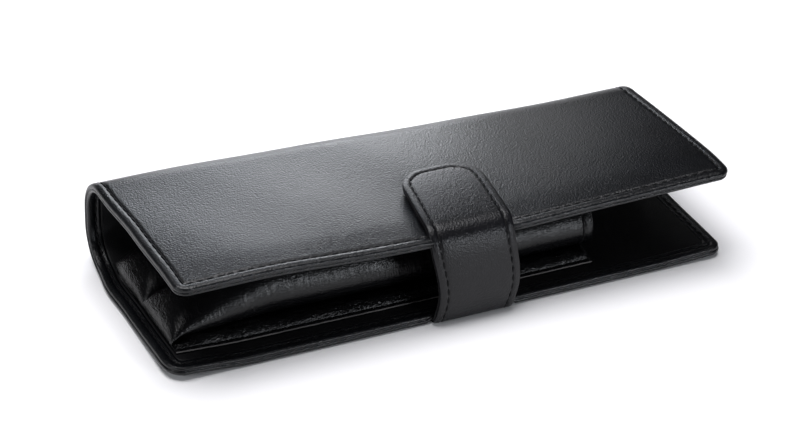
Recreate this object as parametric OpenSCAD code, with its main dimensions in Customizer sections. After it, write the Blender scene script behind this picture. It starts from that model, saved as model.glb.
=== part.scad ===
// Folding leather case for two fountain pens. A base, a soft spine and a flap are one wrap of
// leather, and a strap that is sewn under the base closes over the flap with a press stud.
// X runs along the case, Y from the strap (front) to the spine (back), and Z is up.
// The origin is under the middle of the closed case, on the surface that it rests on.

/* [Case] */
// Length of the case along X
case_l = 165; // [150:1:180]
// Depth from the front edge of the base to the back of the spine
case_d = 67.6; // [66:0.2:74]
// Height from the underside of the base to the top of the flap
case_h = 29; // [28.5:0.5:32]
// Outer radius of the two bends of the spine
bend_r = 12; // [10:0.5:13]
// Radius of the free corners of the base and of the flap
corner_r = 5; // [4:0.5:7]
// How far the flap reaches past the front edge of the base
flap_over = 1; // [0.6:0.1:1]

/* [Wrap] */
// Thickness of the outer leather
skin_t = 1; // [0.8:0.1:1.1]
// Thickness of the bonded-leather interlining
inner_t = 0.8; // [0.6:0.1:1]
// Thickness of the lining
lining_t = 0.8; // [0.6:0.1:1]
// Width of the outer leather that is turned over onto the inside
border_w = 4; // [3.8:0.1:5]
// Distance of the seams from the edges
stitch_in = 2.6; // [2.2:0.1:3]
// Width of the sewing thread
thread_w = 0.45; // [0.3:0.05:0.6]

/* [Pen pocket] */
// Outer radius of each pen lane
lane_r = 9.8; // [9:0.1:10]
// Distance between the axes of the two lanes
lane_pitch = 21.5; // [20.5:0.1:22]
// Setback of the front lane's axis from the front edge of the base
lane_back = 22; // [21.5:0.1:23]
// Thickness of the lane leather
lane_t = 1; // [0.8:0.1:1.2]
// Thickness of the fabric inside the lanes
lane_lining_t = 0.6; // [0.4:0.1:0.8]
// X of the lanes' open mouths
mouth_x = 47; // [40:1:52]
// Length of the stretch where the closed ends come down to the base
nose_l = 12; // [10:0.5:14]

/* [Strap] */
// Width of the strap
strap_w = 24.5; // [20:0.5:26]
// X of the strap's middle
strap_x = 4.5; // [0:0.5:8]
// Thickness of the strap's outer ply
ply_out_t = 1.2; // [1:0.1:1.3]
// Thickness of the strap's inner ply
ply_in_t = 1; // [0.9:0.1:1.1]
// Gap between the flap's front edge and the standing part of the strap
strap_gap = 1; // [0.9:0.1:1.4]
// How far the tab reaches back over the base
tab_reach = 31; // [28:0.5:34]
// Corner radius of the tab's round end
tab_corner_r = 9; // [7:0.5:10]
// Length of the tail that is let in under the base
tail_l = 14; // [12:0.5:16]

/* [Press stud] */
// Setback of the stud from the front edge of the base
stud_back = 19; // [18:0.5:20]
// Radius of the stud's flange, the post's flange and the socket
flange_r = 4; // [3.5:0.1:4.5]
// Radius of the stud's head
head_r = 1.9; // [1.6:0.1:2]

/* [Hidden] */
$fn = 96;

panel_t = skin_t + inner_t + lining_t;
strap_t = ply_out_t + ply_in_t;
strap_out = flap_over + strap_gap + strap_t;
// The closed case is centred in Y, so these follow from its depth and the strap's
front_y = strap_out - (case_d + strap_out) / 2;
spine_y = front_y + case_d;
bend_y = spine_y - bend_r;
flap_front_y = front_y - flap_over;
half_l = case_l / 2;
upper_z = case_h - bend_r;
// Straight stretch of each thread, sunk into the leather and standing proud of it
sunk = 0.3;
proud = 0.12;
// Overlap that keeps a cut clear of the face that it cuts through
cut = 0.5;
// Angle by which a cutting layer runs past the fold line at its end
past_fold = 2;

floor_t = 0.8;
floor_z = panel_t + floor_t;
floor_front_y = front_y + 7.5;
lane_z = floor_z + lane_r;
front_lane_y = front_y + lane_back;
rear_lane_y = front_lane_y + lane_pitch;
// The floor ends where the spine starts to bend
floor_back_y = bend_y;
nose_x = -half_l + border_w;
lane_start_x = nose_x + nose_l;
seam_h = 2.2;

riser_y = front_y - strap_out;
foot_r = 3;
brow_r = strap_t + 1.4;
// The tab lies just above the flap
tab_gap = 0.2;
strap_top = case_h + tab_gap + strap_t;
tail_t = 1;
tab_end_y = front_y + tab_reach;
foot_y = riser_y + foot_r;
brow_y = riser_y + brow_r;
brow_z = strap_top - brow_r;
strap_stitch_in = 2.4;

stud_y = front_y + stud_back;
flange_t = 0.6;
shank_r = 1.2;
socket_t = 1.4;
socket_hole_r = head_r + 0.3;
cap_r = flange_r + 1;
cap_t = 0.4;

leather = "#1c1c20";
strap_leather = "#202024";
pocket_leather = "#18181b";
lining_leather = "#26262b";
board = "#6e5a46";
cloth = "#34343a";
thread = "#0d0d0f";
metal = "#b9b6ac";

// ---------- shared shapes ----------

// A flat outline drawn in Y and Z, swept along X from x0 to x1
module along_x(x0, x1) {
    translate([x0, 0, 0]) rotate([90, 0, 90]) linear_extrude(x1 - x0) children();
}

// Part of a ring from angle a0 to a1, drawn about the origin
module arc_band(r0, r1, a0, a1) {
    reach = 3 * r1;
    middle = (a0 + a1) / 2;
    intersection() {
        difference() {
            circle(r1);
            circle(r0);
        }
        polygon([
            [0, 0],
            reach * [cos(a0), sin(a0)],
            reach * [cos(middle), sin(middle)],
            reach * [cos(a1), sin(a1)]
        ]);
    }
}

// An upright strip or a lying one, given by its two opposite corners
module strip(low, high) {
    translate(low) square(high - low);
}

// An upright prism over a rectangle whose two corners at its front end are round
module rounded_prism(x_mid, width, y_front, y_back, r) {
    translate([x_mid, 0, -cut]) linear_extrude(strap_top + 2 * cut) union() {
        strip([-width / 2, y_front + r], [width / 2, y_back]);
        strip([-width / 2 + r, y_front], [width / 2 - r, y_back]);
        translate([-width / 2 + r, y_front + r]) circle(r);
        translate([width / 2 - r, y_front + r]) circle(r);
    }
}

// ---------- the wrap: base, spine and flap ----------

// Outline of a layer of the wrap between depths t0 and t1 under its outer surface.
// The fold lines are halfway round each bend, on the outer surface.
module wrap_outline(part, t0, t1, past) {
    if (part == "base") {
        strip([front_y - cut, t0], [bend_y, t1]);
        translate([bend_y, bend_r]) arc_band(bend_r - t1, bend_r - t0, -90, -45 + past);
    }
    if (part == "spine") {
        translate([bend_y, bend_r]) arc_band(bend_r - t1, bend_r - t0, -45 - past, 0);
        strip([spine_y - t1, bend_r], [spine_y - t0, upper_z]);
        translate([bend_y, upper_z]) arc_band(bend_r - t1, bend_r - t0, 0, 45 + past);
    }
    if (part == "flap") {
        translate([bend_y, upper_z]) arc_band(bend_r - t1, bend_r - t0, 45 - past, 90);
        strip([flap_front_y - cut, case_h - t1], [bend_y, case_h - t0]);
    }
}

// A layer of the wrap, set in from the ends and the front edge by inset
module wrap_layer(part, t0, t1, inset, past = 0) {
    edge_y = part == "flap" ? flap_front_y : front_y;
    end_x = half_l - inset;
    if (part == "spine")
        along_x(-end_x, end_x) wrap_outline(part, t0, t1, past);
    else
        intersection() {
            along_x(-half_l - cut, half_l + cut) wrap_outline(part, t0, t1, past);
            rounded_prism(0, 2 * end_x, edge_y + inset, spine_y, corner_r - inset * 0.8);
        }
}

// The seam that runs along the free edges, between depths t0 and t1
module wrap_seam(part, t0, t1, past = 0) {
    difference() {
        wrap_layer(part, t0, t1, stitch_in, past);
        wrap_layer(part, t0 - cut, t1 + cut, stitch_in + thread_w, past + 1);
    }
}

// Outer leather, turned over the edge of the interlining onto the inside
module wrap_leather(part) {
    difference() {
        wrap_layer(part, 0, panel_t, 0);
        wrap_layer(part, skin_t, skin_t + inner_t, skin_t, past_fold);
        wrap_layer(part, panel_t - lining_t - inner_t / 2, panel_t + cut, border_w, past_fold);
    }
}

module wrap_interlining(part) {
    color(board) wrap_layer(part, skin_t, skin_t + inner_t, skin_t);
}

module wrap_lining(part) {
    color(lining_leather) wrap_layer(part, panel_t - lining_t, panel_t, border_w);
}

module base_outer_leather() {
    color(leather) difference() {
        wrap_leather("base");
        wrap_seam("base", panel_t - sunk, panel_t + cut, past_fold);
        // Bed for the strap's tail
        translate([strap_x - strap_w / 2, front_y - cut, -cut])
            cube([strap_w, tail_l + cut, tail_t + cut]);
    }
}

module base_interlining() {
    wrap_interlining("base");
}

module base_lining() {
    wrap_lining("base");
}

module base_stitching() {
    color(thread) wrap_seam("base", panel_t - sunk, panel_t + proud);
}

module spine_outer_leather() {
    color(leather) difference() {
        wrap_leather("spine");
        wrap_seam("spine", -cut, sunk, past_fold);
    }
}

module spine_interlining() {
    wrap_interlining("spine");
}

module spine_lining() {
    wrap_lining("spine");
}

module spine_stitching() {
    color(thread) wrap_seam("spine", 0, sunk);
}

// A disc or a hole on the axis of the press stud
module on_stud_axis(r, z0, z1) {
    translate([strap_x, stud_y, z0]) cylinder(r = r, h = z1 - z0);
}

module flap_outer_leather() {
    color(leather) difference() {
        wrap_leather("flap");
        wrap_seam("flap", -cut, sunk, past_fold);
        on_stud_axis(flange_r, case_h - flange_t, case_h + cut);
        on_stud_axis(shank_r, case_h - panel_t, case_h);
    }
}

module flap_interlining() {
    color(board) difference() {
        wrap_layer("flap", skin_t, skin_t + inner_t, skin_t);
        on_stud_axis(shank_r, case_h - panel_t, case_h);
    }
}

module flap_lining() {
    color(lining_leather) difference() {
        wrap_layer("flap", panel_t - lining_t, panel_t, border_w);
        on_stud_axis(shank_r, case_h - panel_t, case_h);
        on_stud_axis(flange_r, case_h - panel_t - cut, case_h - panel_t + flange_t);
    }
}

module flap_stitching() {
    color(thread) wrap_seam("flap", -proud, sunk);
}

// ---------- the pen pocket ----------

// Leather sheet under both lanes, whose front edge is left raw
module pocket_floor() {
    color(pocket_leather) translate([nose_x, floor_front_y, panel_t])
        cube([mouth_x - nose_x, floor_back_y - floor_front_y, floor_t]);
}

// A tube of the lane, between two radii
module lane_tube(lane_y, r0, r1) {
    along_x(lane_start_x, mouth_x) translate([lane_y, lane_z]) difference() {
        circle(r1);
        circle(r0);
    }
}

// The mouth's row of stitches is sunk into the lane leather
module mouth_seam(lane_y, r0, r1) {
    along_x(mouth_x - stitch_in - thread_w, mouth_x - stitch_in) translate([lane_y, lane_z])
        arc_band(r0, r1, 100, 260);
}

module lane_leather(lane_y) {
    color(pocket_leather) difference() {
        lane_tube(lane_y, lane_r - lane_t, lane_r);
        mouth_seam(lane_y, lane_r - sunk, lane_r + cut);
    }
}

module front_lane() {
    lane_leather(front_lane_y);
}

module rear_lane() {
    lane_leather(rear_lane_y);
}

module lane_fabric(lane_y) {
    color(cloth) lane_tube(lane_y, lane_r - lane_t - lane_lining_t, lane_r - lane_t);
}

module front_lane_lining() {
    lane_fabric(front_lane_y);
}

module rear_lane_lining() {
    lane_fabric(rear_lane_y);
}

module lane_mouth_stitching() {
    color(thread) {
        mouth_seam(front_lane_y, lane_r - sunk, lane_r);
        mouth_seam(rear_lane_y, lane_r - sunk, lane_r);
    }
}

// The form between a lane's round section and the flat line where its end is sewn down
module nose_form(lane_y, r, rim, x_end) {
    slice = 0.5;
    flat_w = 2 * r - 1;
    hull() {
        along_x(lane_start_x - slice, lane_start_x) translate([lane_y, lane_z]) circle(r, $fn = 32);
        translate([x_end, lane_y - flat_w / 2, lane_z - lane_r + rim]) cube([slice, flat_w, 1 - rim]);
    }
}

// Closed end of a lane: leather that comes down onto the floor like a duck's bill
module lane_end(lane_y) {
    color(pocket_leather) difference() {
        nose_form(lane_y, lane_r, 0, nose_x + 0.5);
        hull() {
            along_x(lane_start_x - 0.5, lane_start_x + cut)
                translate([lane_y, lane_z]) circle(lane_r - lane_t, $fn = 32);
            translate([nose_x + 5, lane_y - lane_r + 2, floor_z + lane_t])
                cube([0.5, 2 * lane_r - 4, 0.4]);
        }
    }
}

module front_lane_end() {
    lane_end(front_lane_y);
}

module rear_lane_end() {
    lane_end(rear_lane_y);
}

// The lanes' outer surfaces, as a cut for what lies against them
module lane_cuts() {
    for (lane_y = [front_lane_y, rear_lane_y])
        translate([lane_y, lane_z]) circle(lane_r);
}

// Seam allowance that slopes up to a lane at Y zero from a raw edge in front of it
module welt(reach) {
    top_z = floor_z + seam_h - 0.4;
    color(pocket_leather) along_x(lane_start_x, mouth_x) difference() {
        polygon([[-reach, floor_z], [1.4 - lane_r, top_z], [-4, top_z], [-4, floor_z]]);
        translate([0, lane_z]) circle(lane_r);
    }
}

module pocket_front_welt() {
    translate([0, front_lane_y, 0]) welt(front_lane_y - floor_front_y - 0.6);
}

module pocket_rear_welt() {
    translate([0, rear_lane_y, 0]) mirror([0, 1, 0]) welt(floor_back_y - 0.6 - rear_lane_y);
}

// Leather of both lanes where it dips to the floor between them
module pocket_centre_seam() {
    color(pocket_leather) along_x(lane_start_x, mouth_x) difference() {
        strip([front_lane_y + 4, floor_z], [rear_lane_y - 4, floor_z + seam_h]);
        lane_cuts();
    }
}

// Rows of stitches along the pocket's front edge and back edge, through floor and base
module pocket_stitching() {
    inset = 0.1;
    row_w = thread_w / 2;
    for (row_y = [floor_front_y + inset, floor_back_y - inset - row_w])
        color(thread) translate([nose_x + 2, row_y, floor_z])
            cube([mouth_x - nose_x - 4, row_w, proud]);
}

// ---------- the strap ----------

// Outline of a layer of the strap between depths t0 and t1 under its outer surface.
// Its fold lines are halfway round the bend at its foot and the bend over the flap's edge.
module strap_outline(part, t0, t1, inset, past) {
    if (part == "tail") {
        strip([foot_y, t0], [front_y + tail_l - inset, t1]);
        translate([foot_y, foot_r]) arc_band(foot_r - t1, foot_r - t0, 225 - past, 270);
    }
    if (part == "riser") {
        translate([foot_y, foot_r]) arc_band(foot_r - t1, foot_r - t0, 180, 225 + past);
        strip([riser_y + t0, foot_r], [riser_y + t1, brow_z]);
        translate([brow_y, brow_z]) arc_band(brow_r - t1, brow_r - t0, 135 - past, 180);
    }
    if (part == "tab") {
        translate([brow_y, brow_z]) arc_band(brow_r - t1, brow_r - t0, 90, 135 + past);
        strip([brow_y, strap_top - t1], [tab_end_y + cut, strap_top - t0]);
    }
}

// A layer of the strap, set in from its sides and its end by inset
module strap_layer(part, t0, t1, inset, past = 0) {
    half_w = strap_w / 2 - inset;
    if (part != "tab")
        along_x(strap_x - half_w, strap_x + half_w) strap_outline(part, t0, t1, inset, past);
    else
        intersection() {
            along_x(strap_x - strap_w, strap_x + strap_w) strap_outline(part, t0, t1, inset, past);
            mirror([0, 1, 0]) rounded_prism(
                strap_x, 2 * half_w, -tab_end_y + inset, -riser_y + strap_t, tab_corner_r - inset * 0.8
            );
        }
}

module strap_seam(part, t0, t1, past = 0) {
    difference() {
        strap_layer(part, t0, t1, strap_stitch_in, past);
        strap_layer(part, t0 - cut, t1 + cut, strap_stitch_in + thread_w, past + 1);
    }
}

// Skived end of the strap, let in flush under the base
module strap_tail() {
    color(strap_leather) difference() {
        strap_layer("tail", 0, tail_t, 0);
        strap_seam("tail", -cut, sunk, past_fold);
    }
}

module strap_tail_stitching() {
    color(thread) strap_seam("tail", 0.05, sunk);
}

module strap_riser_outer() {
    color(strap_leather) difference() {
        strap_layer("riser", 0, ply_out_t, 0);
        strap_seam("riser", -cut, sunk, past_fold);
    }
}

module strap_riser_lining() {
    color(lining_leather) strap_layer("riser", ply_out_t, strap_t, 0);
}

module strap_riser_stitching() {
    color(thread) strap_seam("riser", 0, sunk);
}

module strap_tab_outer() {
    socket_top = case_h + tab_gap + socket_t;
    color(strap_leather) difference() {
        strap_layer("tab", 0, ply_out_t, 0);
        strap_seam("tab", -cut, sunk, past_fold);
        on_stud_axis(flange_r, case_h, socket_top);
        on_stud_axis(cap_r, socket_top, socket_top + cap_t);
    }
}

module strap_tab_lining() {
    color(lining_leather) difference() {
        strap_layer("tab", ply_out_t, strap_t, 0);
        on_stud_axis(flange_r, case_h, strap_top);
    }
}

module strap_tab_stitching() {
    color(thread) strap_seam("tab", -proud, sunk);
}

// ---------- the press stud ----------

// Stud on the flap: a sunk flange and a waisted head
module snap_stud() {
    head_z = case_h + tab_gap + socket_t - 0.6;
    color(metal) {
        on_stud_axis(flange_r, case_h - flange_t, case_h);
        on_stud_axis(head_r - 0.3, case_h - 0.01, head_z);
        translate([strap_x, stud_y, head_z - 0.01]) cylinder(r1 = head_r, r2 = head_r - 0.4, h = 0.4);
    }
}

// Post that holds the stud from the inside of the flap
module snap_post() {
    color(metal) {
        on_stud_axis(flange_r, case_h - panel_t, case_h - panel_t + flange_t);
        on_stud_axis(shank_r, case_h - panel_t + flange_t - 0.01, case_h - flange_t);
    }
}

// Socket ring in the tab's inner ply
module snap_socket() {
    color(metal) difference() {
        on_stud_axis(flange_r, case_h + tab_gap, case_h + tab_gap + socket_t);
        on_stud_axis(socket_hole_r, case_h, case_h + tab_gap + socket_t - 0.1);
    }
}

// Cap between the tab's two plies, which holds the socket and doesn't show
module snap_cap() {
    socket_top = case_h + tab_gap + socket_t;
    color(metal) on_stud_axis(cap_r, socket_top, socket_top + cap_t);
}

base_outer_leather();
base_interlining();
base_lining();
base_stitching();
pocket_floor();
front_lane();
rear_lane();
front_lane_lining();
rear_lane_lining();
front_lane_end();
rear_lane_end();
pocket_front_welt();
pocket_rear_welt();
pocket_centre_seam();
pocket_stitching();
lane_mouth_stitching();
strap_tail();
strap_tail_stitching();
spine_outer_leather();
spine_interlining();
spine_lining();
spine_stitching();
flap_outer_leather();
flap_interlining();
flap_lining();
flap_stitching();
snap_stud();
snap_post();
strap_riser_outer();
strap_riser_lining();
strap_riser_stitching();
strap_tab_outer();
strap_tab_lining();
strap_tab_stitching();
snap_socket();
snap_cap();
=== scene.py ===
import math

import bmesh
import bpy
import numpy as np
from mathutils import Matrix, Vector, noise


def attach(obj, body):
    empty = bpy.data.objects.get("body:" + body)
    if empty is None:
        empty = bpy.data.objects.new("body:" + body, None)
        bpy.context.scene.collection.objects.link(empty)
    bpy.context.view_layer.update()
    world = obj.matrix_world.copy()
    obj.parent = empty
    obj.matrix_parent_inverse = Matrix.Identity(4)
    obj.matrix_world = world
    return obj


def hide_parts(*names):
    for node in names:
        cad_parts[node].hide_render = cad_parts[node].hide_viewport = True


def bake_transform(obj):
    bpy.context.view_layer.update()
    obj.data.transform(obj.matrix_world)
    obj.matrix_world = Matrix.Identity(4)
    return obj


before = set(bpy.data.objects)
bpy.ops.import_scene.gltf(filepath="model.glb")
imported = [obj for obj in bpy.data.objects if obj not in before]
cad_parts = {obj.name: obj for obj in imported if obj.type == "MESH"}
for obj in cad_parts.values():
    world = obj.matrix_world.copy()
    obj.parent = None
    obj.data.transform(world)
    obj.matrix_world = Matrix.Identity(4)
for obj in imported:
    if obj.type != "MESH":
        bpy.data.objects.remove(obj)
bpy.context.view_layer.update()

# ---------- sizes, in millimetres ----------
MM = 0.001
HALF_L = 82.5
FRONT_Y = -31.7
FLAP_Y = -32.7
BEND_Y = 23.9
BEND_R = 12.0
SPINE_Y = BEND_Y + BEND_R
CASE_H = 29.0
UPPER_Z = CASE_H - BEND_R
PANEL_T = 2.6
CORNER_R = 3.9
BORDER_W = 4.1
STITCH_IN = 2.72
STITCH_PITCH = 3.0

STRAP_X = 4.5
STRAP_W = 24.4
STRAP_T = 1.9
TAIL_T = 1.05
TAB_R = 9.5
STUD_Y = -12.7
BED_X = STRAP_X + 0.4

MOUTH_X = 47.6
NOSE_X = -78.2
FLOOR_Y0 = -24.2
FLOOR_Y1 = 23.9
FLOOR_Z = 3.3
LANE_Y = (-9.7, 11.8)
LANE_TOP = 19.6
LANE_HALF_W = 10.4
NOSE_L = 28
INSIDE_X = -66

# Arc lengths along the outside of the wrap, from the front edge of the base
S1 = BEND_Y - FRONT_Y
S2 = S1 + BEND_R * math.pi / 2
S3 = S2 + UPPER_Z - BEND_R
S4 = S3 + BEND_R * math.pi / 2
S_END = S4 + BEND_Y - FLAP_Y
S_MID = (S2 + S3) / 2


def smooth(t):
    """Eases from 0 to 1 as t goes from 0 to 1, and stays there outside that span."""
    t = np.clip(t, 0.0, 1.0)
    return t * t * (3 - 2 * t)


# ---------- how the worn case has settled ----------
def settle(p):
    """The flap sags towards the back and the right, and the free corners of the base lift."""
    x, y, z = p.T
    # Sag of the flap at its front edge and at the back bend, and the share of each in between
    front = 1.1 - 2.4 * smooth((x + 65) / 65) + 1.3 * smooth((x - 15) / 67)
    back = -0.4 - 4.6 * smooth((x + 80) / 150)
    w = np.clip((y - FRONT_Y) / S1, 0, 1) ** 1.5
    drop = front + (back - front) * w
    drop = drop - 0.5 * (1 - smooth((y - FLAP_Y) / 13))
    # The base's front corners curl up, and the flap is a little uneven
    near = 1 - smooth((y - FRONT_Y) / 32)
    lift = near * (1.4 * smooth((-x - 58) / 24) + 0.7 * smooth((x - 60) / 22))
    soft = 0.2 * np.sin(x / 17 + 1.3) * np.sin(y / 11 + 0.4) + 0.1 * np.sin(x / 7.3 + y / 9.1)
    # The left side edge bows outward low down and at the back, the right one only a little
    level = z / CASE_H
    left = smooth((-x - 58) / 24)
    belly = smooth((y - FRONT_Y + 1) / 8) * (1 - smooth((y - 12) / 16)) * (1 - level)
    spread = 0.8 * level * (1 - smooth((y - FRONT_Y) / 30)) - 0.8 * smooth(y / 20) - 1.5 * belly
    wide = left * spread + 0.8 * smooth((x - 58) / 24)
    return np.column_stack([x + wide, y, z + (drop + soft) * level + lift * (1 - level)])


def press(p):
    """The strap presses the front edge of the flap back and down."""
    x, y, z = p.T
    under = smooth((x + 9.5) / 8) * (1 - smooth((x - 10.5) / 8))
    near = (1 - smooth((y - FLAP_Y) / 9)) * (z > CASE_H / 2)
    return np.column_stack([x, y + 1.8 * under * near, z - 0.6 * under * near])


# ---------- maps from a flat development to the shape ----------
def wrap_map(x, s, h):
    """x along the case, s along the outside of the wrap, h the depth under that outside."""
    low = (s - S1) / BEND_R - math.pi / 2
    high = (s - S3) / BEND_R
    r = BEND_R - h
    zones = [s < S1, s < S2, s < S3, s < S4]
    y = np.select(
        zones,
        [FRONT_Y + s, BEND_Y + r * np.cos(low), SPINE_Y - h, BEND_Y + r * np.cos(high)],
        BEND_Y - (s - S4),
    )
    z = np.select(
        zones,
        [h, BEND_R + r * np.sin(low), BEND_R + s - S2, UPPER_Z + r * np.sin(high)],
        CASE_H - h,
    )
    return settle(press(np.column_stack([x, y, z])))


def curve_through(points):
    """A smooth curve through points, sampled evenly enough to measure along."""
    steps = 24
    p = [np.array(q, float) for q in points]
    p = [2 * p[0] - p[1]] + p + [2 * p[-1] - p[-2]]
    out = []
    for i in range(1, len(p) - 2):
        for k in range(steps):
            t = k / steps
            a = 2 * p[i]
            b = p[i + 1] - p[i - 1]
            c = 2 * p[i - 1] - 5 * p[i] + 4 * p[i + 1] - p[i + 2]
            d = 3 * p[i] - p[i - 1] - 3 * p[i + 1] + p[i + 2]
            out.append(0.5 * (a + b * t + c * t * t + d * t**3))
    out.append(p[-2])
    return np.array(out)


# Outside of the strap in Y and Z, from the end of its tail under the base to the end of the tab
TAIL_END = (-17.7, 0.05)
FOOT = [(-29.0, 0.05), (-31.9, 0.2), (-33.3, 1.3)]
RISER = [(-34.7, 4.6), (-35.5, 9.5), (-35.4, 14.5), (-34.8, 19.6)]
BROW = [(-34.0, 23.5), (-32.5, 27.1), (-29.6, 29.4)]
TAB = [(-25.4, 30.0), (-17, 30.25), (-9, 30.1), (-0.1, 29.5)]
strap_curve = curve_through([TAIL_END] + FOOT + RISER + BROW + TAB)
strap_steps = np.diff(strap_curve, axis=0)
strap_s = np.concatenate([[0], np.cumsum(np.hypot(strap_steps[:, 0], strap_steps[:, 1]))])
STRAP_END = strap_s[-1]
strap_slope = np.gradient(strap_curve, strap_s, axis=0)
S_FOOT = float(strap_s[np.argmax(strap_curve[:, 1] > 1.0)])
S_BROW = float(strap_s[np.argmax(strap_curve[:, 1] > 25.0)])
S_STRAP_MID = (S_FOOT + S_BROW) / 2


def strap_map(a, s, h):
    """a across the strap, s along its outside, h the depth as if it were STRAP_T thick all along."""
    y = np.interp(s, strap_s, strap_curve[:, 0])
    z = np.interp(s, strap_s, strap_curve[:, 1])
    ty = np.interp(s, strap_s, strap_slope[:, 0])
    tz = np.interp(s, strap_s, strap_slope[:, 1])
    size = np.hypot(ty, tz)
    # The tail is skived to TAIL_T so that it lies flat under the base
    thick = TAIL_T / STRAP_T + (1 - TAIL_T / STRAP_T) * smooth((s - S_FOOT + 4) / 7)
    d = h * thick
    # The strap wanders sideways, is widest at its upper bend and is cupped on the riser
    tab_s = smooth((s - S_BROW - 4) / (STRAP_END - S_BROW - 4))
    up_riser = smooth((s - S_FOOT) / (S_BROW - S_FOOT))
    lean = 0.9 * smooth((s - S_FOOT) / 9) - 1.7 * smooth((s - S_FOOT - 10) / 16) + 2.4 * tab_s
    wide = 0.97 + 0.05 * up_riser - 0.04 * tab_s
    cup = 0.5 * (a / STRAP_W * 2) ** 4 * smooth((s - S_FOOT) / 8) * (1 - smooth((s - S_BROW) / 10))
    x = STRAP_X - 0.1 + lean + a * wide
    return np.column_stack([x, y + tz / size * d + cup, z - ty / size * d])


# ---------- meshes ----------
def make(name, points, faces, materials, face_materials=None, weld=True, creased=()):
    """Object from points in millimetres: creased lists the faces whose borders stay sharp."""
    mesh = bpy.data.meshes.new(name)
    mesh.from_pydata([tuple(q) for q in np.asarray(points) * MM], [], faces)
    for m in materials:
        mesh.materials.append(m)
    if face_materials is not None:
        mesh.polygons.foreach_set("material_index", face_materials)
    bm = bmesh.new()
    bm.from_mesh(mesh)
    bm.faces.ensure_lookup_table()
    for index in creased:
        for edge in bm.faces[index].edges:
            edge.smooth = False
    if weld:
        bmesh.ops.remove_doubles(bm, verts=bm.verts, dist=1e-7)
    bmesh.ops.recalc_face_normals(bm, faces=bm.faces)
    bm.to_mesh(mesh)
    bm.free()
    mesh.polygons.foreach_set("use_smooth", [True] * len(mesh.polygons))
    obj = bpy.data.objects.new(name, mesh)
    bpy.context.collection.objects.link(obj)
    return obj


def grid_faces(rows, cols, offset=0, wrap=False):
    """Quads between neighbouring rows of points, closed round each row if wrap is set."""
    faces = []
    for r in range(rows - 1):
        for c in range(cols if wrap else cols - 1):
            a = offset + r * cols + c
            b = offset + r * cols + (c + 1) % cols
            faces.append((a, b, b + cols, a + cols))
    return faces


def ring_point(d, r, block, f):
    """Point of the ring that lies d inside both edges of a corner, f of the way to its diagonal."""
    straight = block - d - r
    t = f * (straight + r * math.pi / 4)
    if t <= straight:
        return d, block - t
    a = (t - straight) / r
    return d + r * (1 - math.cos(a)), d + r * (1 - math.sin(a))


def develop(width, length, rings, radius, pitch):
    """Flat grid of a panel with three rolled edges: rows, columns and points (across, along, depth)."""
    k_end = len(rings) - 1
    block = rings[-1][0]
    n_in = max(2, round((width - 2 * block) / pitch))
    n_along = max(2, round((length - block) / pitch))
    cols = 2 * k_end + n_in + 1
    rows = k_end + n_along + 1
    out = []
    for j in range(rows):
        v = rings[j][0] if j <= k_end else block + (length - block) * (j - k_end) / n_along
        for i in range(cols):
            side = min(i, cols - 1 - i)
            if side <= k_end:
                a = rings[side][0]
            else:
                a = block + (width - 2 * block) * (i - k_end) / n_in
                if i > cols / 2:
                    a = width - a
            p, q = a, v
            k = min(side, j, k_end)
            if side <= k_end and j <= k_end:
                # The corner gets tighter from one ring to the next
                d = rings[k][0]
                r = max(radius - 1.15 * max(d, 0), 0.4)
                r = min(r, block - d - 0.01) if k < k_end else 0.01
                if side <= j:
                    f = (k_end - j) / (k_end - side) if side < k_end else 0
                    p, q = ring_point(d, r, block, f)
                else:
                    f = (k_end - side) / (k_end - j) if j < k_end else 0
                    q, p = ring_point(d, r, block, f)
            x = -width / 2 + p if i <= cols / 2 else width / 2 - p
            out.append((x, q, rings[k][1]))
    return rows, cols, np.array(out)


def shell(name, width, length, outer, inner, radius, to_world, materials, pitch=1.5, adjust=None):
    """Closed panel: an outer and an inner surface that meet at the free edges, capped at the far end."""
    rows, cols, top = develop(width, length, outer, radius, pitch)
    _, _, under = develop(width, length, inner, radius, pitch)
    both = np.vstack([top, under])
    if adjust is not None:
        both = adjust(both)
    n = rows * cols
    faces = grid_faces(rows, cols) + grid_faces(rows, cols, n)
    kinds = [0] * (len(faces) // 2) + [1 if len(materials) > 1 else 0] * (len(faces) // 2)
    last = (rows - 1) * cols
    for i in range(cols - 1):
        faces.append((last + i, last + i + 1, n + last + i + 1, n + last + i))
        kinds.append(0)
    cap = range(len(faces) - cols + 1, len(faces))
    return make(name, to_world(both), faces, materials, kinds, creased=cap)


def loft(name, rings, materials):
    """Rings of points, each the same count, joined into a closed skin with a cap at both ends."""
    count = len(rings[0])
    points = np.vstack(rings)
    faces = grid_faces(len(rings), count, 0, True)
    faces.append(tuple(range(count)))
    faces.append(tuple(range(len(points) - count, len(points))))
    return make(name, points, faces, materials, weld=False)


# One stitch: (distance along it, radius), thin where it dives into the leather
THREAD_RINGS = [
    (-1.18, 0.06), (-1.06, 0.2), (-0.7, 0.28), (0, 0.3), (0.7, 0.28), (1.06, 0.2), (1.18, 0.06),
]
STITCH_HALF = THREAD_RINGS[-1][0]
STITCH_SINK = 0.3
STITCH_FLAT = 0.85


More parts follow.
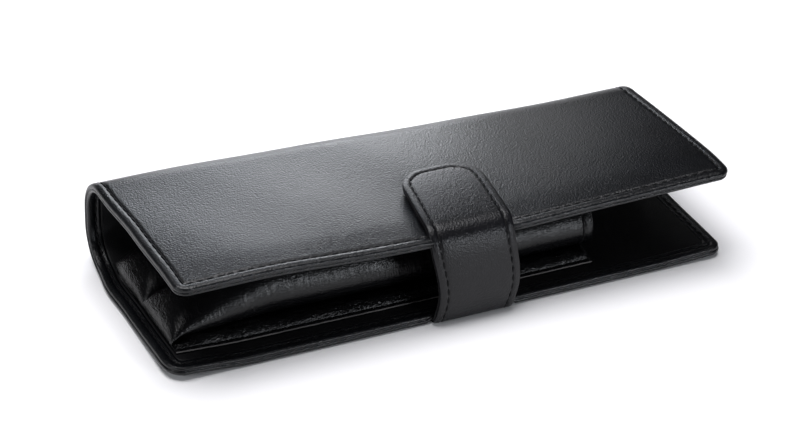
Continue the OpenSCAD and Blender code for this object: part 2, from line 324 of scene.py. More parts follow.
def stitches(name, centres, to_world, material, slant=0.1, size=1.0):
    """Stitches at centres (across, along, their direction, depth, up): up is -1 on the outside."""
    sides = 8
    points = []
    faces = []
    for a, v, da, dv, depth, up in centres:
        base = len(points)
        ca, sa = math.cos(slant), math.sin(slant)
        ta, tv = da * ca - dv * sa, da * sa + dv * ca
        for t, r in THREAD_RINGS:
            for k in range(sides):
                ang = 2 * math.pi * k / sides
                b = r * size * math.cos(ang)
                c = r * size * STITCH_FLAT * math.sin(ang)
                sink = STITCH_SINK * (abs(t) / STITCH_HALF) ** 2
                points.append((a + ta * t - tv * b, v + tv * t + ta * b, depth + up * (c - sink)))
        faces += grid_faces(len(THREAD_RINGS), sides, base, True)
        faces.append(tuple(range(base, base + sides)))
        end = base + (len(THREAD_RINGS) - 1) * sides
        faces.append(tuple(range(end, end + sides)))
    return make(name, to_world(np.array(points)), faces, [material], weld=False)


def seam_centres(width, length, inset, depth, up, corner=1.6, pitch=STITCH_PITCH):
    """Even stitches along one side, the free edge and the other side of a panel."""
    ahead = 0.3
    half = width / 2 - inset
    path = [(-half, length), (-half, inset + corner)]
    for k in range(1, 9):
        a = math.pi / 2 * k / 9
        path.append((-half + corner * (1 - math.cos(a)), inset + corner * (1 - math.sin(a))))
    path += [(-half + corner, inset)]
    path += [(-p, q) for p, q in reversed(path)]
    path = np.array(path)
    steps = np.diff(path, axis=0)
    along = np.concatenate([[0], np.cumsum(np.hypot(steps[:, 0], steps[:, 1]))])
    count = int(round(along[-1] / pitch))
    out = []
    for i in range(count):
        t = (i + 0.5) / count * along[-1]
        a, v = np.interp(t, along, path[:, 0]), np.interp(t, along, path[:, 1])
        a2, v2 = np.interp(t + ahead, along, path[:, 0]), np.interp(t + ahead, along, path[:, 1])
        size = math.hypot(a2 - a, v2 - v)
        out.append((a, v, (a2 - a) / size, (v2 - v) / size, depth, up))
    return out


# ---------- materials ----------
def material(name):
    """A new empty node material, with its nodes and links."""
    m = bpy.data.materials.new(name)
    m.use_nodes = True
    m.node_tree.nodes.clear()
    return m, m.node_tree.nodes, m.node_tree.links


def add(nodes, kind, **values):
    """A node with its inputs, or else its own settings, given by name."""
    n = nodes.new(kind)
    for key, value in values.items():
        if key in n.inputs:
            n.inputs[key].default_value = value
        else:
            setattr(n, key, value)
    return n


def ramp(nodes, low, high, start, stop):
    """A colour ramp from low at start to high at stop."""
    n = nodes.new("ShaderNodeValToRGB")
    n.color_ramp.elements[0].position = start
    n.color_ramp.elements[1].position = stop
    n.color_ramp.elements[0].color = (*low, 1)
    n.color_ramp.elements[1].color = (*high, 1)
    return n


def leather(name, dark, light, rough, grain, bump, wrinkle=0.06, specular=0.34, stretch=(1, 1, 1)):
    """Grained leather: pebbles of size grain in mm, fine creases, patchy colour and lighter worn edges."""
    wear = 0.05
    m, nodes, links = material(name)
    out = nodes.new("ShaderNodeOutputMaterial")
    shader = add(nodes, "ShaderNodeBsdfPrincipled")
    shader.inputs["Specular IOR Level"].default_value = specular
    links.new(shader.outputs[0], out.inputs["Surface"])
    place = nodes.new("ShaderNodeTexCoord")
    patches = add(nodes, "ShaderNodeTexNoise", Scale=70.0, Detail=4.0, Roughness=0.6)
    fine = add(nodes, "ShaderNodeTexNoise", Scale=2200.0, Detail=2.0, Roughness=0.5)
    cells = add(nodes, "ShaderNodeTexVoronoi", Scale=1000.0 / grain)
    cells.feature = "SMOOTH_F1"
    creases = add(nodes, "ShaderNodeTexNoise", Scale=260.0, Detail=5.0, Roughness=0.55, Distortion=0.6)
    for t in (patches, fine, cells):
        links.new(place.outputs["Object"], t.inputs["Vector"])
    pulled = add(nodes, "ShaderNodeMapping")
    pulled.inputs["Scale"].default_value = stretch
    links.new(place.outputs["Object"], pulled.inputs["Vector"])
    links.new(pulled.outputs["Vector"], creases.inputs["Vector"])
    colour = ramp(nodes, dark, light, 0.3, 0.72)
    links.new(patches.outputs["Fac"], colour.inputs["Fac"])
    worn = ramp(nodes, (0, 0, 0), (wear, wear, wear), 0.53, 0.62)
    geometry = nodes.new("ShaderNodeNewGeometry")
    links.new(geometry.outputs["Pointiness"], worn.inputs["Fac"])
    mixed = add(nodes, "ShaderNodeMixRGB")
    mixed.inputs["Color2"].default_value = tuple(min(1, c * 3.2 + 0.01) for c in light) + (1,)
    links.new(worn.outputs["Color"], mixed.inputs["Fac"])
    links.new(colour.outputs["Color"], mixed.inputs["Color1"])
    links.new(mixed.outputs["Color"], shader.inputs["Base Color"])
    gloss = add(nodes, "ShaderNodeMapRange")
    gloss.inputs["To Min"].default_value = rough[0]
    gloss.inputs["To Max"].default_value = rough[1]
    links.new(patches.outputs["Fac"], gloss.inputs["Value"])
    links.new(gloss.outputs["Result"], shader.inputs["Roughness"])
    height = add(nodes, "ShaderNodeMath", operation="MULTIPLY_ADD")
    height.inputs[1].default_value = -1.0
    links.new(cells.outputs["Distance"], height.inputs[0])
    links.new(fine.outputs["Fac"], height.inputs[2])
    grain_bump = add(nodes, "ShaderNodeBump", Strength=bump, Distance=0.00022)
    links.new(height.outputs["Value"], grain_bump.inputs["Height"])
    crease_bump = add(nodes, "ShaderNodeBump", Strength=wrinkle, Distance=0.0006)
    links.new(creases.outputs["Fac"], crease_bump.inputs["Height"])
    links.new(grain_bump.outputs["Normal"], crease_bump.inputs["Normal"])
    links.new(crease_bump.outputs["Normal"], shader.inputs["Normal"])
    return m


def thread_material(name, dark, light):
    """Twisted waxed thread."""
    m, nodes, links = material(name)
    out = nodes.new("ShaderNodeOutputMaterial")
    shader = add(nodes, "ShaderNodeBsdfPrincipled", Roughness=0.75)
    shader.inputs["Specular IOR Level"].default_value = 0.2
    links.new(shader.outputs[0], out.inputs["Surface"])
    place = nodes.new("ShaderNodeTexCoord")
    twist = add(nodes, "ShaderNodeTexWave", Scale=900.0, Distortion=1.0)
    twist.bands_direction = "DIAGONAL"
    fibres = add(nodes, "ShaderNodeTexNoise", Scale=3000.0, Detail=2.0)
    links.new(place.outputs["Object"], twist.inputs["Vector"])
    links.new(place.outputs["Object"], fibres.inputs["Vector"])
    colour = ramp(nodes, dark, light, 0.35, 0.7)
    links.new(fibres.outputs["Fac"], colour.inputs["Fac"])
    links.new(colour.outputs["Color"], shader.inputs["Base Color"])
    bump = add(nodes, "ShaderNodeBump", Strength=0.5, Distance=0.00008)
    links.new(twist.outputs["Fac"], bump.inputs["Height"])
    links.new(bump.outputs["Normal"], shader.inputs["Normal"])
    return m


def cloth_material(name, dark, light):
    """Plain woven lining with yarns about 0.7 mm apart."""
    weave = 1000.0 / 0.35 / 6.3
    m, nodes, links = material(name)
    out = nodes.new("ShaderNodeOutputMaterial")
    shader = add(nodes, "ShaderNodeBsdfPrincipled", Roughness=0.85)
    shader.inputs["Sheen Weight"].default_value = 0.2
    shader.inputs["Specular IOR Level"].default_value = 0.2
    links.new(shader.outputs[0], out.inputs["Surface"])
    place = nodes.new("ShaderNodeTexCoord")
    warp = add(nodes, "ShaderNodeTexWave", Scale=weave, Distortion=0.5)
    weft = add(nodes, "ShaderNodeTexWave", Scale=weave, Distortion=0.5)
    weft.bands_direction = "Y"
    spots = add(nodes, "ShaderNodeTexNoise", Scale=220.0, Detail=4.0)
    for t in (warp, weft, spots):
        links.new(place.outputs["Object"], t.inputs["Vector"])
    colour = ramp(nodes, dark, light, 0.3, 0.7)
    links.new(spots.outputs["Fac"], colour.inputs["Fac"])
    links.new(colour.outputs["Color"], shader.inputs["Base Color"])
    both = add(nodes, "ShaderNodeMath", operation="MAXIMUM")
    links.new(warp.outputs["Fac"], both.inputs[0])
    links.new(weft.outputs["Fac"], both.inputs[1])
    bump = add(nodes, "ShaderNodeBump", Strength=0.5, Distance=0.0001)
    links.new(both.outputs["Value"], bump.inputs["Height"])
    links.new(bump.outputs["Normal"], shader.inputs["Normal"])
    return m


def metal_material(name, dark, light):
    """Plated metal with fine scuffs."""
    m, nodes, links = material(name)
    out = nodes.new("ShaderNodeOutputMaterial")
    shader = add(nodes, "ShaderNodeBsdfPrincipled")
    shader.inputs["Metallic"].default_value = 1.0
    links.new(shader.outputs[0], out.inputs["Surface"])
    place = nodes.new("ShaderNodeTexCoord")
    scuffs = add(nodes, "ShaderNodeTexNoise", Scale=900.0, Detail=5.0)
    links.new(place.outputs["Object"], scuffs.inputs["Vector"])
    colour = ramp(nodes, dark, light, 0.3, 0.7)
    links.new(scuffs.outputs["Fac"], colour.inputs["Fac"])
    links.new(colour.outputs["Color"], shader.inputs["Base Color"])
    gloss = add(nodes, "ShaderNodeMapRange")
    gloss.inputs["To Min"].default_value = 0.2
    gloss.inputs["To Max"].default_value = 0.42
    links.new(scuffs.outputs["Fac"], gloss.inputs["Value"])
    links.new(gloss.outputs["Result"], shader.inputs["Roughness"])
    bump = add(nodes, "ShaderNodeBump", Strength=0.1, Distance=0.00005)
    links.new(scuffs.outputs["Fac"], bump.inputs["Height"])
    links.new(bump.outputs["Normal"], shader.inputs["Normal"])
    return m


BLACK = (0.0016, 0.0016, 0.002)
COOL_BLACK = (0.0016, 0.0018, 0.0024)
shell_leather = leather(
    "shell_leather_look", COOL_BLACK, (0.0038, 0.0042, 0.0055), rough=(0.25, 0.33), grain=0.44, bump=0.44
)
strap_leather = leather(
    "strap_leather_look", (0.002, 0.002, 0.0028), (0.0045, 0.0045, 0.006),
    rough=(0.27, 0.36), grain=0.44, bump=0.42, specular=0.28,
)
pocket_leather = leather(
    "pocket_leather_look", BLACK, (0.0035, 0.0035, 0.004),
    rough=(0.22, 0.3), grain=0.45, bump=0.26, wrinkle=0.34, specular=0.28, stretch=(5.0, 1.2, 1.2),
)
welt_leather = leather(
    "welt_leather_look", BLACK, (0.004, 0.004, 0.0045), rough=(0.2, 0.32), grain=0.8, bump=1.0, wrinkle=0.9
)
raw_edge = leather(
    "raw_edge_look", (0.05, 0.047, 0.047), (0.16, 0.15, 0.147),
    rough=(0.7, 0.85), grain=0.3, bump=0.5, wrinkle=0.4,
)
lining_leather = leather(
    "lining_leather_look", (0.0018, 0.0018, 0.0024), (0.004, 0.004, 0.005),
    rough=(0.45, 0.58), grain=0.5, bump=0.2, specular=0.3,
)
thread = thread_material("thread_look", (0.0008, 0.0008, 0.001), (0.003, 0.003, 0.004))
lane_cloth = cloth_material("lane_cloth_look", (0.01, 0.01, 0.012), (0.022, 0.022, 0.026))
snap_metal = metal_material("snap_metal_look", (0.42, 0.41, 0.38), (0.62, 0.6, 0.56))

# ---------- the wrap ----------
# (distance from the edge, depth): the outer leather rolls over the edge down to a crease between the plies
COVER_OUT = [
    (0.7, 1.5), (0.14, 1.36), (0.0, 1.0), (0.07, 0.6), (0.3, 0.22), (0.75, 0.02), (1.4, -0.07),
    (2.0, -0.04), (2.36, 0.14), (STITCH_IN, 0.46), (3.08, 0.14), (3.45, 0.0), (3.9, 0.0),
    (4.6, 0.0), (6.0, 0.0),
]
COVER_IN = [
    (0.7, 1.5), (0.3, 1.66), (0.2, 1.92), (0.25, 2.25), (0.45, 2.5), (0.8, 2.6), (1.4, 2.64),
    (2.0, 2.62), (2.36, 2.48), (STITCH_IN, 2.2), (3.08, 2.48), (3.45, 2.58), (3.95, 2.6),
    (4.12, 2.3), (6.0, 2.3),
]
LINING_TOP = [(0.0, 2.3), (0.05, 2.4), (0.25, 2.47), (0.7, 2.49), (3.0, 2.49)]
LINING_BACK = [(0.0, 2.3), (0.05, 2.24), (0.25, 2.2), (0.7, 2.2), (3.0, 2.2)]


def lower(p, start=0.0):
    """Places the panel that starts at the front edge of the base."""
    return wrap_map(p[:, 0], p[:, 1] + start, p[:, 2])


def upper(p, start=0.0):
    """Places the panel that starts at the front edge of the flap."""
    return wrap_map(p[:, 0], S_END - p[:, 1] - start, p[:, 2])


def strap_bed(p):
    """The strap's tail is let in under the front of the base."""
    half, length, depth = STRAP_W / 2 + 0.2, 14.6, 1.15
    a = np.abs(p[:, 0] - BED_X)
    bed = (1 - smooth((a - half) / 0.8)) * (1 - smooth((p[:, 1] - length) / 1.5))
    out = p.copy()
    out[:, 2] += depth * bed * np.clip(1 - p[:, 2] / PANEL_T, 0, 1)
    return out


def finish_lower(obj, slot_name, *nodes):
    """The lower half of the wrap, from the base's front edge to the middle of the spine: bakes it in place
    and hides the parts it replaces.
    """
    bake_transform(obj)
    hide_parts(*nodes)


def finish_upper(obj, slot_name, *nodes):
    """The upper half of the wrap, from the middle of the spine to the flap's front edge: bakes it in place
    and hides the parts it replaces.
    """
    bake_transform(obj)
    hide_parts(*nodes)


LOWER_L = S_MID
UPPER_L = S_END - S_MID
FULL_W = 2 * HALF_L

cover_lower = shell(
    "cover_lower", FULL_W, LOWER_L, COVER_OUT, COVER_IN, CORNER_R, lower, [shell_leather],
    adjust=strap_bed,
)
cover_upper = shell("cover_upper", FULL_W, UPPER_L, COVER_OUT, COVER_IN, CORNER_R, upper, [shell_leather])
lining_lower = shell(
    "lining_lower", FULL_W - 2 * BORDER_W, LOWER_L - BORDER_W, LINING_TOP, LINING_BACK, 1.5,
    lambda p: lower(p, BORDER_W), [lining_leather], pitch=2.5,
)
lining_upper = shell(
    "lining_upper", FULL_W - 2 * BORDER_W, UPPER_L - BORDER_W, LINING_TOP, LINING_BACK, 1.5,
    lambda p: upper(p, BORDER_W), [lining_leather], pitch=2.5,
)
# The thread lies this deep in its groove, and stops short of the strap's tail on the outside
THREAD_DEPTH = 0.17
IN_DEPTH = PANEL_T - THREAD_DEPTH
TAIL_SPAN = STRAP_W / 2 + 1.6
TAIL_REACH = 16
lower_inside = seam_centres(FULL_W, LOWER_L, STITCH_IN, IN_DEPTH, 1)
upper_inside = seam_centres(FULL_W, UPPER_L, STITCH_IN, IN_DEPTH, 1)
lower_outside = [
    c for c in seam_centres(FULL_W, LOWER_L, STITCH_IN, THREAD_DEPTH, -1)
    if not (abs(c[0] - BED_X) < TAIL_SPAN and c[1] < TAIL_REACH)
]
upper_outside = seam_centres(FULL_W, UPPER_L, STITCH_IN, THREAD_DEPTH, -1)
seam_lower_in = stitches("seam_lower_inside", lower_inside, lower, thread)
seam_upper_in = stitches("seam_upper_inside", upper_inside, upper, thread)
seam_lower_out = stitches("seam_lower_outside", lower_outside, lower, thread)
seam_upper_out = stitches("seam_upper_outside", upper_outside, upper, thread)

finish_lower(cover_lower, "shell_leather", "base_outer_leather", "base_interlining")
finish_upper(
    cover_upper, "shell_leather",
    "flap_outer_leather", "flap_interlining", "spine_outer_leather", "spine_interlining",
)
finish_lower(lining_lower, "lining_leather", "base_lining")
finish_upper(lining_upper, "lining_leather", "flap_lining", "spine_lining")
finish_lower(seam_lower_in, "thread", "base_stitching")
finish_lower(seam_lower_out, "thread", "base_stitching")
finish_upper(seam_upper_in, "thread", "spine_stitching")
finish_upper(seam_upper_out, "thread", "flap_stitching")

# ---------- the strap ----------
STRAP_OUT = [
    (0.26, 1.05), (0.05, 0.9), (0.0, 0.6), (0.08, 0.3), (0.3, 0.08), (0.8, 0.0), (1.6, -0.04),
    (2.05, 0.04), (2.4, 0.36), (2.75, 0.04), (3.2, 0.0), (5.0, 0.0), (7.0, 0.0), (10.2, 0.0),
]
STRAP_IN = [
    (0.26, 1.05), (0.1, 1.15), (0.04, 1.35), (0.1, 1.65), (0.3, 1.83), (0.8, 1.9), (1.6, 1.92),
    (2.05, 1.87), (2.4, 1.66), (2.75, 1.87), (3.2, 1.9), (5.0, 1.9), (7.0, 1.9), (10.2, 1.9),
]


def strap_lower(p):
    return strap_map(p[:, 0], p[:, 1], p[:, 2])


def strap_upper(p):
    return strap_map(p[:, 0], STRAP_END - p[:, 1], p[:, 2])


half_way = len(strap_curve) // 2
STUD_V = float(STRAP_END - np.interp(STUD_Y, strap_curve[half_way:, 0], strap_s[half_way:]))


def socket_bed(p):
    """The inside of the tab is dished round the socket."""
    radius, depth = 2.6, 1.0
    r = np.hypot(p[:, 0] + 0.3, p[:, 1] - STUD_V)
    inside = p[:, 2] > 1.5
    out = p.copy()
    out[:, 2] -= depth * (1 - smooth((r - radius) / 1.2)) * inside
    return out


STRAP_LOW_L = S_STRAP_MID
STRAP_UP_L = STRAP_END - S_STRAP_MID
strap_base = shell(
    "strap_riser_half", STRAP_W, STRAP_LOW_L, STRAP_OUT, STRAP_IN, 1.2, strap_lower,
    [strap_leather, lining_leather], pitch=1.0,
)
strap_top = shell(
    "strap_tab_half", STRAP_W, STRAP_UP_L, STRAP_OUT, STRAP_IN, TAB_R, strap_upper,
    [strap_leather, lining_leather], pitch=1.0, adjust=socket_bed,
)
STRAP_STITCH_IN = 2.4
STRAP_PITCH = 2.8
STRAP_DEPTH = 0.12
riser_centres = seam_centres(
    STRAP_W, STRAP_LOW_L, STRAP_STITCH_IN, STRAP_DEPTH, -1, corner=0.8, pitch=STRAP_PITCH
)
tab_centres = seam_centres(
    STRAP_W, STRAP_UP_L, STRAP_STITCH_IN, STRAP_DEPTH, -1, corner=TAB_R - 2.6, pitch=STRAP_PITCH
)
seam_riser = stitches("seam_riser", riser_centres, strap_lower, thread)
seam_tab = stitches("seam_tab", tab_centres, strap_upper, thread)
tab_inside = [(a, v, da, dv, STRAP_T - STRAP_DEPTH, 1) for a, v, da, dv, _, _ in tab_centres]
seam_tab_in = stitches("seam_tab_inside", tab_inside, strap_upper, thread)

for piece, nodes, name in (
    (strap_base, ["strap_tail", "strap_riser_outer", "strap_riser_lining"], "strap_leather"),
    (seam_riser, ["strap_tail_stitching", "strap_riser_stitching"], "thread"),
):
    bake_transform(piece)
    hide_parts(*nodes)
for piece, nodes, name in (
    (strap_top, ["strap_tab_outer", "strap_tab_lining"], "strap_leather"),
    (seam_tab, ["strap_tab_stitching"], "thread"),
    (seam_tab_in, ["strap_tab_stitching"], "thread"),
):
    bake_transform(piece)
    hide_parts(*nodes)


# ---------- the press stud ----------
def lathe(name, profile, level, body, *nodes):
    """A turned metal part: profile is (radius, height over level) from the axis out and back to it."""
    steps = 48
    a = 2 * np.pi * np.arange(steps) / steps
    rings = []
    for r, z in profile:
        ring = [STRAP_X + r * np.cos(a), STUD_Y + r * np.sin(a), np.full(steps, level + z)]
        rings.append(np.column_stack(ring))
    obj = loft(name, rings, [snap_metal])
    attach(obj, body)
    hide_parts(*nodes)


flap_top = float(settle(np.array([[STRAP_X, STUD_Y, CASE_H]]))[0, 2])
flap_in = float(settle(np.array([[STRAP_X, STUD_Y, CASE_H - PANEL_T]]))[0, 2])
tab_in = float(strap_upper(np.array([[0.0, STUD_V, STRAP_T]]))[0, 2])
stud_profile = [
    (0.05, -0.4), (3.9, -0.4), (4.0, -0.1), (3.9, 0.1), (3.4, 0.22), (2.2, 0.16), (1.75, 0.25),
    (1.6, 0.45), (1.85, 0.7), (1.85, 0.95), (1.5, 1.12), (0.8, 1.16), (0.05, 1.16),
]
lathe("stud", stud_profile, flap_top, "flap", "snap_stud")
post_profile = [
    (0.05, 0.4), (3.9, 0.4), (4.0, 0.1), (3.8, -0.1), (2.9, -0.22), (1.3, -0.18), (1.0, 0.05), (0.05, 0.1),
]
lathe("post", post_profile, flap_in, "flap", "snap_post")
socket_profile = [
    (0.05, 1.0), (2.0, 0.95), (2.15, 0.6), (2.1, 0.1), (2.25, -0.15), (2.7, -0.28), (3.4, -0.26),
    (3.9, -0.1), (4.0, 0.15), (3.9, 0.5), (2.4, 1.2), (0.05, 1.2),
]
lathe("socket", socket_profile, tab_in, "strap_tab", "snap_socket", "snap_cap")

# ---------- the pen pocket ----------
AROUND = 72
ROUNDNESS = 0.87


def wave(x, y, z, scale):
    """Smooth uneven waves about scale mm long."""
    return noise.fractal(Vector((x / scale, y / scale, z / scale)), 1.0, 2.0, 3)


def lane_ring(x, middle_y, inset, rough):
    """Pear-shaped section of a lane at x, inset under its outside, with the creases of soft leather."""
    rise = min(1.0, max(0.0, (x - NOSE_X) / NOSE_L)) ** 0.42
    swell = 1 + 0.02 * math.sin(x / 19 + middle_y)
    mouth = 0.25 * math.exp(-(((x - MOUTH_X) / 2.5) ** 2))
    top = (LANE_TOP - FLOOR_Z) * max(rise, 0.05) * swell + mouth
    half_h = top / 2
    half_w = LANE_HALF_W + 1.0 * (1 - rise) + mouth
    points = []
    for k in range(AROUND):
        a = 2 * math.pi * k / AROUND
        c, s = math.cos(a), math.sin(a)
        y = math.copysign(abs(c) ** ROUNDNESS, c)
        z = math.copysign(abs(s) ** ROUNDNESS, s)
        w = half_w * (1 - 0.13 * max(z, 0) - 0.1 * max(-z - 0.4, 0))
        lift = 0.12 * half_h * (1 - abs(z))
        # The leather creases most where it is gathered towards the nose, and least on the floor
        slack = 0.1 + 0.3 * (1 - rise)
        broad = slack * wave(x, y * 2 + middle_y, z * 2, 2.8)
        small = 0.05 * wave(x * 1.3, y * 2 + middle_y, z * 2, 1.6)
        fold = rough * (broad + small)
        fold *= 1.0 if z > -0.6 else 0.3
        k_w = max(w - inset + fold, 0.05)
        k_h = max(half_h - inset + fold, 0.02)
        points.append((x, middle_y + y * k_w, FLOOR_Z + half_h + z * k_h - lift))
    return settle(np.array(points))


def span(x0, x1, pitch):
    """Even steps of about pitch from x0 to x1."""
    n = max(1, round(abs(x1 - x0) / pitch))
    return [x0 + (x1 - x0) * i / n for i in range(n + 1)]


MOUTH_LIP = [
    (3.6, 0.0), (3.2, 0.22), (2.8, 0.02), (1.8, -0.15), (0.8, -0.12), (0.25, 0.1), (0, 0.6),
    (0.25, 1.1), (1.2, 1.35), (3, 1.3),
]


def lane(tag, middle_y):
    """One pen lane: its leather turned in at the mouth, pinched shut at the nose, and its cloth."""
    stations = [(x, 0.0) for x in [NOSE_X, NOSE_X + 0.3, NOSE_X + 0.8, NOSE_X + 1.6]]
    stations += [(x, 0.0) for x in span(NOSE_X + 2.6, MOUTH_X - 4.2, 1.3)]
    # (back from the mouth, inset): the stitched groove, then the lip that turns in
    stations += [(MOUTH_X - back, inset) for back, inset in MOUTH_LIP]
    stations += [(x, 1.1) for x in span(MOUTH_X - 5, INSIDE_X, 5.0)]
    rings = [lane_ring(x, middle_y, inset, 1.0) for x, inset in stations]
    body = loft(tag + "_lane_leather", rings, [pocket_leather])
    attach(body, "base")
    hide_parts(tag + "_lane", tag + "_lane_end")
    inside = [(x, 1.55) for x in span(INSIDE_X + 1, MOUTH_X - 1.6, 3.0)] + [(MOUTH_X - 1.2, 1.42)]
    inside += [(MOUTH_X - 1.6, 1.2)] + [(x, 1.15) for x in span(MOUTH_X - 5, INSIDE_X, 6.0)]
    lining = loft(tag + "_lane_cloth", [lane_ring(x, middle_y, i, 1.0) for x, i in inside], [lane_cloth])
    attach(lining, "base")
    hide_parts(tag + "_lane_lining")


for tag, middle_y in zip(("front", "rear"), LANE_Y):
    lane(tag, middle_y)


# Stitches of the rear lane are told apart by REAR added to their position round the mouth
REAR = 1000
MOUTH_R = 10.0


def lane_stitches(p):
    """across is the position round the mouth in mm, along is the distance back from the mouth."""
    out = []
    for a, v, h in p:
        middle_y = LANE_Y[0] if a < REAR / 2 else LANE_Y[1]
        turn = (a % REAR) / MOUTH_R
        x = MOUTH_X - v
        ring = lane_ring(x, middle_y, h, 0.0)
        f = (turn / (2 * math.pi) * AROUND) % AROUND
        k = int(f)
        out.append(ring[k] + (ring[(k + 1) % AROUND] - ring[k]) * (f - k))
    return np.array(out)


mouth_centres = []
for lane_index in (0, 1):
    for i in range(19):
        turn = math.radians(62 + 10.6 * i)
        mouth_centres.append((REAR * lane_index + turn * MOUTH_R, 3.2, 1, 0, 0.05, -1))
mouth_seams = stitches("mouth_seams", mouth_centres, lane_stitches, thread, size=0.85)
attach(mouth_seams, "base")
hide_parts("lane_mouth_stitching")


def strip(name, x0, x1, section, materials, node, rough, rim=None):
    """A long low piece of leather: section(x) gives its closed outline, rim the cut edge's points."""
    rings = []
    for x in span(x0, x1, 1.0):
        ring = []
        for y, z, soft in section(x):
            n = rough * soft * wave(x, y, z, 2.6)
            ring.append((x, y + 0.4 * n, z + n))
        rings.append(ring)
    obj = loft(name, [settle(np.array(r, float)) for r in rings], materials)
    for face in obj.data.polygons:
        if rim and all(rim[0] <= v % len(rings[0]) <= rim[1] for v in face.vertices):
            face.material_index = 1
    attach(obj, "base")
    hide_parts(node)


def floor_section(x):
    """The pocket's floor, with the cut edge at its front: Y, Z and how uneven each point is."""
    lo, hi, y0, y1 = PANEL_T - 0.05, FLOOR_Z, FLOOR_Y0, FLOOR_Y1
    cut = [(y0, lo, 0), (y0 - 0.1, (lo + hi) / 2, 0.6), (y0, hi - 0.05, 0.4), (y0 + 0.12, hi + 0.02, 0.3)]
    return cut + [(y0 + 0.6, hi, 0.2), (y1 - 0.3, hi, 0), (y1, hi - 0.2, 0), (y1, lo + 0.1, 0)]


def welt_section(middle_y, way, edge_y):
    """Slope of gathered leather from the floor's edge up to the foot of a lane."""

    def section(x):
        nose = smooth((x - NOSE_X - 0.5) / 9)
        top = FLOOR_Z + 0.2 + 1.5 * nose
        foot = middle_y - way * (LANE_HALF_W - 1.2)
        y0 = edge_y + way * 1.3
        outline = []
        for i in range(15):
            t = i / 14
            roll = math.sin(min(1.0, t * 1.25) * math.pi * 0.62) ** 0.8
            z = FLOOR_Z + 0.04 + (top - FLOOR_Z) * roll
            outline.append((y0 + (foot - y0) * t, z, 0.2 + 1.3 * roll))
        inner = foot + way * 3.0
        return outline + [(inner, top - 0.3, 0), (inner, FLOOR_Z - 0.2, 0), (y0, FLOOR_Z - 0.2, 0)]

    return section


LEFT, RIGHT = NOSE_X + 0.8, MOUTH_X - 2.8
front_slope = welt_section(LANE_Y[0], 1, FLOOR_Y0)
rear_slope = welt_section(LANE_Y[1], -1, FLOOR_Y1)
strip(
    "pocket_base_sheet", NOSE_X + 0.4, MOUTH_X - 2.4, floor_section, [pocket_leather, raw_edge],
    "pocket_floor", 0.12, rim=(1, 2),
)
strip("front_welt", LEFT, RIGHT, front_slope, [welt_leather], "pocket_front_welt", 0.35)
strip("rear_welt", LEFT, RIGHT, rear_slope, [welt_leather], "pocket_rear_welt", 0.25)


def centre_section(x):
    """The valley between the lanes, sewn down along its middle."""
    nose = smooth((x - NOSE_X - 1) / 12)
    y0, y1 = LANE_Y[0] + 7.4, LANE_Y[1] - 7.4
    outline = []
    for i in range(11):
        t = i / 10
        dip = 1 - math.sin(t * math.pi) ** 0.8
        outline.append((y0 + (y1 - y0) * t, FLOOR_Z + 0.3 + nose * (1.6 + 2.0 * dip), 0.8))
    return outline + [(y1, FLOOR_Z - 0.2, 0), (y0, FLOOR_Z - 0.2, 0)]


strip(
    "centre_valley", NOSE_X + 1, MOUTH_X - 0.8, centre_section, [pocket_leather],
    "pocket_centre_seam", 0.3,
)

row_centres = []
for row_y in (FLOOR_Y0 + 0.28, FLOOR_Y1 - 0.35):
    for x in span(NOSE_X + 4, MOUTH_X - 3, STITCH_PITCH):
        row_centres.append((x, row_y, 1, 0, FLOOR_Z + 0.02, 1))
pocket_seams = stitches("pocket_seams", row_centres, settle, thread, slant=0.05, size=0.7)
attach(pocket_seams, "base")
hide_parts("pocket_stitching")

# ---------- floor, light and camera ----------
ground_material, ground_nodes, ground_links = material("ground_look")
ground_out = ground_nodes.new("ShaderNodeOutputMaterial")
ground_shader = add(ground_nodes, "ShaderNodeBsdfPrincipled", Roughness=0.7)
ground_shader.inputs["Base Color"].default_value = (0.92, 0.915, 0.92, 1)
ground_shader.inputs["Specular IOR Level"].default_value = 0.2
ground_links.new(ground_shader.outputs[0], ground_out.inputs["Surface"])
# The floor lies just under the lowest point of the case
bpy.ops.mesh.primitive_plane_add(size=14, location=(0, 0, -0.0002))
ground = bpy.context.object
ground.name = "ground"
ground.data.materials.append(ground_material)

world = bpy.data.worlds.new("studio")
bpy.context.scene.world = world
world.use_nodes = True
world.node_tree.nodes["Background"].inputs["Color"].default_value = (0.97, 0.98, 1.0, 1)
world.node_tree.nodes["Background"].inputs["Strength"].default_value = 0.04


def softbox(name, place, target, size, watts, colour):
    """A soft rectangular studio light aimed at target, itself out of the picture."""
    data = bpy.data.lights.new(name, "AREA")
    data.shape = "RECTANGLE"
    data.size, data.size_y = size
    data.energy = watts
    data.color = colour
    obj = bpy.data.objects.new(name, data)
    bpy.context.collection.objects.link(obj)
    obj.location = place
    way = Vector(target) - Vector(place)
    obj.rotation_euler = way.to_track_quat("-Z", "Y").to_euler()
    obj.visible_camera = False


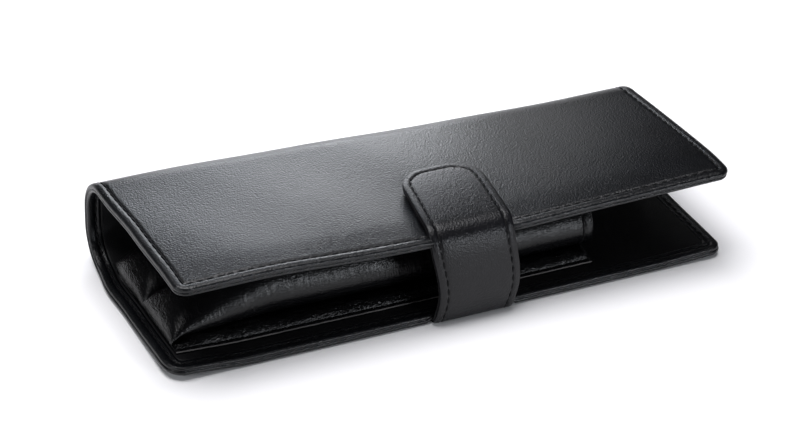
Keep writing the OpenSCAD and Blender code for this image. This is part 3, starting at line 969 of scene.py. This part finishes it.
# Three small boxes behind the case give the flap's highlights, and four larger ones light the rest
softbox("back_box", (0.02, 0.14, 0.064), (-0.02, 0.0, 0.025), (0.11, 0.05), 0.09, (0.92, 0.95, 1.0))
softbox("corner_box", (0.075, 0.15, 0.07), (0.03, 0.0, 0.025), (0.1, 0.05), 0.026, (0.97, 0.98, 1.0))
softbox("left_box", (0.086, 0.338, 0.26), (-0.052, -0.004, 0.027), (0.06, 0.026), 0.085, (0.78, 0.86, 1.0))
softbox("side_box", (-0.7, -0.15, 0.25), (0, 0, 0.02), (0.3, 0.3), 1.3, (0.94, 0.97, 1.0))
softbox("top_box", (-0.09, 0.12, 1.0), (0, 0, 0), (0.8, 0.8), 13.8, (0.98, 0.975, 1.0))
softbox("front_box", (0.22, -0.5, 0.03), (0, 0, 0.02), (0.16, 0.05), 0.2, (0.93, 0.96, 1.0))
softbox("brow_box", (0.35, -0.8, 0.24), (0, 0, 0.02), (0.24, 0.1), 2.1, (0.9, 0.94, 1.0))

# The camera stands in front of the case, to its left and above it, at a distance in metres
DISTANCE = 0.9
AZIMUTH = math.radians(-25.29)
ELEVATION = math.radians(32.07)
ROLL = math.radians(1.77)
flat = math.cos(ELEVATION)
back = Vector((math.sin(AZIMUTH) * flat, -math.cos(AZIMUTH) * flat, math.sin(ELEVATION)))
right = Vector((math.cos(AZIMUTH), math.sin(AZIMUTH), 0))
up = back.cross(right)
camera_x = math.cos(ROLL) * right + math.sin(ROLL) * up
camera_y = -math.sin(ROLL) * right + math.cos(ROLL) * up
lens = bpy.data.cameras.new("camera")
lens.lens = 145.27
lens.sensor_width = 36
lens.clip_start = 0.01
lens.clip_end = 50
camera = bpy.data.objects.new("camera", lens)
bpy.context.collection.objects.link(camera)
target = Vector((-2.3, 1.7, 14.0)) * MM
turn = Matrix((camera_x, camera_y, back)).transposed().to_4x4()
camera.matrix_world = Matrix.Translation(target + back * DISTANCE) @ turn
bpy.context.scene.camera = camera
bpy.context.scene.view_settings.view_transform = "Standard"
